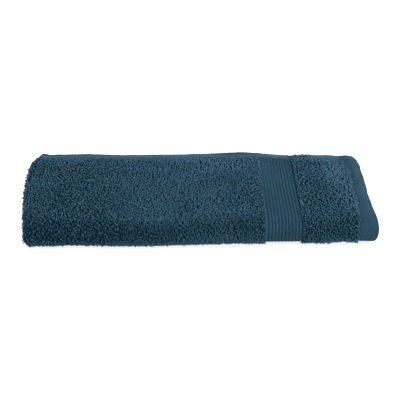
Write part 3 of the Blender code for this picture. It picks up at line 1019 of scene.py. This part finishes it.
def scatterLoops(rng, field):
    # a jittered grid, thinned where the cloth's outer face is stretched less
    endFrom, endTo, sideFrom, sideTo = (value * mm for value in field[1:5])
    stretchMost = foldStretch(np.array([endFrom]), np.array([(sideFrom + sideTo) / 2]))[0]
    columns = round((endTo - endFrom) / loop["pitch"][0] / field[5])
    rows = round((sideTo - sideFrom) * stretchMost / loop["pitch"][1] / field[5])
    u, v = np.meshgrid((np.arange(columns) + 0.5) / columns, (np.arange(rows) + 0.5) / rows)
    u, v = u.ravel(), v.ravel()
    jitter = loop["jitter"]
    u = u + rng.uniform(-jitter, jitter, len(u)) / columns
    v = v + rng.uniform(-jitter, jitter, len(v)) / rows
    places = np.stack([endFrom + u * (endTo - endFrom), sideFrom + v * (sideTo - sideFrom)], axis=-1)
    stretch = foldStretch(places[:, 0], places[:, 1])
    keep = rng.uniform(0, 1, len(u)) < stretch / stretchMost
    border, endHem, sideHem = bandMasks(places[:, 0], places[:, 1])
    keep &= (border < 0.5) & (endHem < 0.5) & (sideHem < 0.5)
    keep &= outsideShows(places[:, 0], places[:, 1]) > loop["leastShown"]
    return places[keep]


def tuftWaves(places):
    # how far the loops' tops rise, and the way they lean
    outer = np.stack([places[:, 0], outerReach(places[:, 1]) / tuft["longer"]], axis=-1)
    onTop = smooth(places[:, 1:], frontFoldEnd, frontFoldEnd + tuft["looserOver"])
    loose = 1 + (tuft["looserAtEnd"] - 1) * (places[:, :1] < bands["border"][0]) * onTop
    rng = np.random.default_rng(loop["seeds"]["tufts"])
    tufts, gather = waves(rng, outer / loose, tuft["size"], tuft["waves"])
    return tufts * loose[:, 0], gather * loose


def loopHeights(rng, places, tufts, brushed):
    count = len(places)
    height = loop["height"] * (1 + tuft["height"] * tufts) * rng.uniform(*loop["heightRange"], count)
    footStart, footFrom, footTo, footEnd = loop["outlineFoot"]
    atFoot = smooth(places[:, 1], footStart, footFrom) * (1 - smooth(places[:, 1], footTo, footEnd))
    outline = np.maximum(smooth(places[:, 0], *loop["outlineBend"]), loop["atFoot"] * atFoot)
    low, moreLoops, moreProud = loop["outlineLoops"]
    proud = rng.uniform(0, 1, count) < loop["proudShare"] + moreLoops * outline
    height = height * np.where(proud, loop["proud"] + moreProud * outline, 1 - (1 - low) * outline)
    height *= 1 - brushing["flatter"] * brushed
    (start, end), over = sideHemPile["tallBetween"], sideHemPile["tallOver"]
    tall = smooth(places[:, 0], start, start + over) * (1 - smooth(places[:, 0], end - over, end))
    change = tall * sideHemPile["tall"] + (1 - tall) * sideHemPile["low"]
    byHem = smooth(places[:, 1], sideHemPile["lowFrom"], sideHemPile["lowFrom"] + sideHemPile["lowOver"])
    return height * (1 + (change - 1) * byHem)


def loopTones(rng, places, tufts, patches, brushed):
    slow = waves(np.random.default_rng(loop["seeds"]["slow"]), places, loop["slowLength"])[0]
    most, roughFrom, roughTo = loop["rougher"]
    rougher = 1 + (most - 1) * smooth(places[:, 0], roughFrom, roughTo)
    # the tufts' tone paints shade in the partings between them
    own = rng.uniform(-1, 1, len(places)) * loop["toneOwn"] + tuft["tone"] * tufts
    own = own * rougher * (1 - brushing["calmer"] * brushed)
    return np.clip(patches + loop["toneSlow"] * slow + own, 0, 1)


def layLoops(rng, name, places, turn, fall):
    count = len(places)
    patches, brushed = patchTone(places)
    turn = math.pi / 2 + (turn - math.pi / 2) * (1 - brushing["combed"] * brushed)
    span = loop["span"] * rng.uniform(*loop["spanRange"], count) * (1 + brushing["longer"] * brushed)
    tufts, gather = tuftWaves(places)
    height = loopHeights(rng, places, tufts, brushed)
    radius = loop["yarn"] * rng.uniform(*loop["yarnRange"], count)
    way = np.array(loop["path"])[None, :]
    arch = np.sin(np.clip(way, 0, 1) * math.pi) ** loop["archRound"]
    along = (way - 0.5) * span[:, None]
    across = fall[:, None] * arch + loop["curl"] * np.sin(way * math.tau) * rng.uniform(-1, 1, (count, 1))
    up = -bands["pileSink"] - loop["root"] + height[:, None] * arch
    cosine, sine = np.cos(turn)[:, None], np.sin(turn)[:, None]
    pull = tuft["gather"] * gather[:, None, :] * arch[:, :, None]
    path = np.stack([along * cosine - across * sine + pull[..., 0],
                     along * sine + across * cosine + pull[..., 1], up], axis=-1)
    points = yarnRings(path, np.repeat(radius[:, None], way.shape[1], axis=1), loop["sides"])
    # laid on the flat cloth, and folded with it
    stretch = np.maximum(foldStretch(places[:, 0], places[:, 1]), loop["leastStretch"])[:, None]
    fromEnd = places[:, :1] + points[..., 0]
    fromSide = np.minimum(places[:, 1:] + points[..., 1] / stretch, clothWidth - 1 * mm)
    folded = foldTowel(fromEnd.ravel(), fromSide.ravel(), points[..., 2].ravel()).reshape(points.shape)
    folded[..., 2] = np.maximum(folded[..., 2], loop["clear"])
    # painted shade: each loop darkens towards its root
    outOfRootShade = smooth(points[..., 2], *loop["shadeFrom"])
    outOfRootShade = outOfRootShade + (1 - outOfRootShade) * brushing["paleRoots"] * brushed[:, None]
    own = loopTones(rng, places, tufts, patches, brushed)
    faces, corners = yarnPattern(len(loop["path"]) - 2, loop["sides"])
    piece = joinCopies(name, folded, faces, corners, loopMaterial, {"tone": own[:, None] * outOfRootShade})
    print(name + ":", count, "loops")
    return piece


def makePile(field, seed):
    rng = np.random.default_rng(seed)
    places = scatterLoops(rng, field)
    onTop = smooth(places[:, 1] - frontFoldEnd, *loop["combedOver"])
    combed = loop["combed"][1] + (loop["combed"][0] - loop["combed"][1]) * onTop
    turn = math.pi / 2 + rng.uniform(-math.pi / 2, math.pi / 2, len(places)) * (1 - combed)
    return layLoops(rng, field[0], places, turn, loop["lean"] * rng.uniform(-1, 1, len(places)))


def makeBandEdgePile(seed):
    rng = np.random.default_rng(seed)
    places, turns, falls = [], [], []
    for measure, line, start, end, fall, loose in bandEdges:
        count = round((end - start) * mm / bandEdgeLoops["pitch"])
        along = (start + (np.arange(count) + rng.uniform(0, 1, count)) / count * (end - start)) * mm
        line = (line + rng.normal(0, loose, count)) * mm
        straight = measure == "fromEnd"
        places.append(np.stack([line, along] if straight else [along, line], axis=-1))
        swing = bandEdgeLoops["swing"]
        turns.append((math.pi / 2 if straight else 0.0) + rng.uniform(-swing, swing, count))
        falls.append((-fall if straight else fall) * mm * rng.uniform(*bandEdgeLoops["fallRange"], count))
    places, turns, falls = (np.concatenate(rows) for rows in (places, turns, falls))
    border, endHem = bandMasks(places[:, 0], places[:, 1])[:2]
    overHem = places[:, 1] > clothWidth - bands["sideHem"]
    keep = (border < bandEdgeLoops["onBorder"]) & (endHem < bandEdgeLoops["onHem"]) | overHem
    return layLoops(rng, "pileBandEdges", places[keep], turns[keep], falls[keep])


pilePieces = [makePile(field, loop["seeds"]["pile"] + i) for i, field in enumerate(pileFields)]
pilePieces.append(makeBandEdgePile(loop["seeds"]["bandEdges"]))

# The sewing
stitch = {
    "length": 3.0 * mm,
    "pitch": 3.5 * mm,
    "thread": 0.32 * mm,            # half its thickness
    "sides": 4,
    "rise": 0.35 * mm,
    "sunk": 0.1 * mm,               # its ends, in the cloth
    "uneven": 0.08 * mm,
    "path": (0.0, 0.1, 0.5, 0.9, 1.0),
    "beforeBack": 14.0 * mm,        # the end hem's row starts this far before the back fold,
    "pastBend": 20.0 * mm,          # and the side hem's row ends this far past the bend
    "seeds": (41, 42),
}


def sewLine(name, start, end, seed):
    # a row of lockstitches from one flat place to another
    rng = np.random.default_rng(seed)
    start, end = np.array(start), np.array(end)
    reach = np.linalg.norm(end - start)
    ahead = (end - start) / reach
    count = int(reach / stitch["pitch"])
    first = start + ahead * (np.arange(count)[:, None] + 0.5) * stitch["pitch"]
    first = first + rng.normal(0, stitch["uneven"], first.shape)
    way = np.array(stitch["path"])
    flat = first[:, None, :] + ahead * (way[None, :, None] - 0.5) * stitch["length"]
    ground = clothLift(flat[..., 0].ravel(), flat[..., 1].ravel(), True).reshape(flat.shape[:2])
    lift = ground + stitch["rise"] * np.sin(way * math.pi) - stitch["sunk"]
    path = np.concatenate([flat, lift[..., None]], axis=-1)
    points = yarnRings(path, np.full(path.shape[:2], stitch["thread"]), stitch["sides"])
    folded = foldTowel(*(points[..., i].ravel() for i in range(3))).reshape(points.shape)
    folded[..., 2] = np.maximum(folded[..., 2], loop["clear"])
    faces, corners = yarnPattern(len(way) - 2, stitch["sides"])
    return joinCopies(name, folded, faces, corners, threadMaterial, {})


def sewHems():
    endSeam = bands["endHem"][1] - bands["seamIn"]
    sideSeam = clothWidth - bands["sideHem"] + bands["seamIn"]
    start, corner = (endSeam, middleRunEnd - stitch["beforeBack"]), (endSeam, sideSeam)
    end = (bendEnd + stitch["pastBend"], sideSeam)
    seedOfEnd, seedOfSide = stitch["seeds"]
    return [sewLine("endHemStitches", start, corner, seedOfEnd),
            sewLine("sideHemStitches", corner, end, seedOfSide)]


stitchPieces = sewHems()
print("hems sewn")

for piece in [cloth, *pilePieces, *stitchPieces]:
    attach(piece, "root")
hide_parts("folded_towel")

# The studio
studio = {
    "floorSize": 9.0,
    "floorShade": 0.45,
    "floorRough": 0.9,
    "floorGlow": 0.75,
    "world": 1.2,
    "camera": (0.0066, -0.679, 0.546),
    "cameraDown": 37.91,            # degrees
    "lens": 56.04,
    # name, place, aimed at, size, power
    "lights": (("keySoftbox", (0.8, -0.3, 0.9), (0.0, 0.0, 0.0), 0.8, 8.0),
               ("topSoftbox", (0.0, -0.4, 1.8), (0.0, 0.0, 0.0), 1.2, 6.0)),
}


def makeFloor():
    bm = bmesh.new()
    bmesh.ops.create_grid(bm, x_segments=1, y_segments=1, size=studio["floorSize"] / 2)
    mesh = bpy.data.meshes.new("studioFloor")
    bm.to_mesh(mesh)
    bm.free()
    material = bpy.data.materials.new("studioPaper")
    material.use_nodes = True
    shader = material.node_tree.nodes["Principled BSDF"]
    shader.inputs["Base Color"].default_value = (studio["floorShade"],) * 3 + (1,)
    shader.inputs["Roughness"].default_value = studio["floorRough"]
    shader.inputs["Emission Color"].default_value = (1, 1, 1, 1)
    shader.inputs["Emission Strength"].default_value = studio["floorGlow"]
    mesh.materials.append(material)
    addObject("studioFloor", mesh)


def makeLights():
    world = bpy.data.worlds.new("studioLight")
    world.use_nodes = True
    world.node_tree.nodes["Background"].inputs["Color"].default_value = (1, 1, 1, 1)
    world.node_tree.nodes["Background"].inputs["Strength"].default_value = studio["world"]
    bpy.context.scene.world = world
    for name, place, target, size, power in studio["lights"]:
        data = bpy.data.lights.new(name, "AREA")
        data.size = size
        data.energy = power
        light = addObject(name, data)
        light.location = place
        light.rotation_euler = (Vector(target) - Vector(place)).to_track_quat("-Z", "Y").to_euler()


def makeCamera():
    data = bpy.data.cameras.new("studioCamera")
    data.lens = studio["lens"]
    camera = addObject("studioCamera", data)
    camera.location = studio["camera"]
    camera.rotation_euler = (math.radians(90 - studio["cameraDown"]), 0, 0)
    bpy.context.scene.camera = camera
    bpy.context.scene.view_settings.view_transform = "Standard"


makeFloor()
makeLights()
makeCamera()
print("studio set")
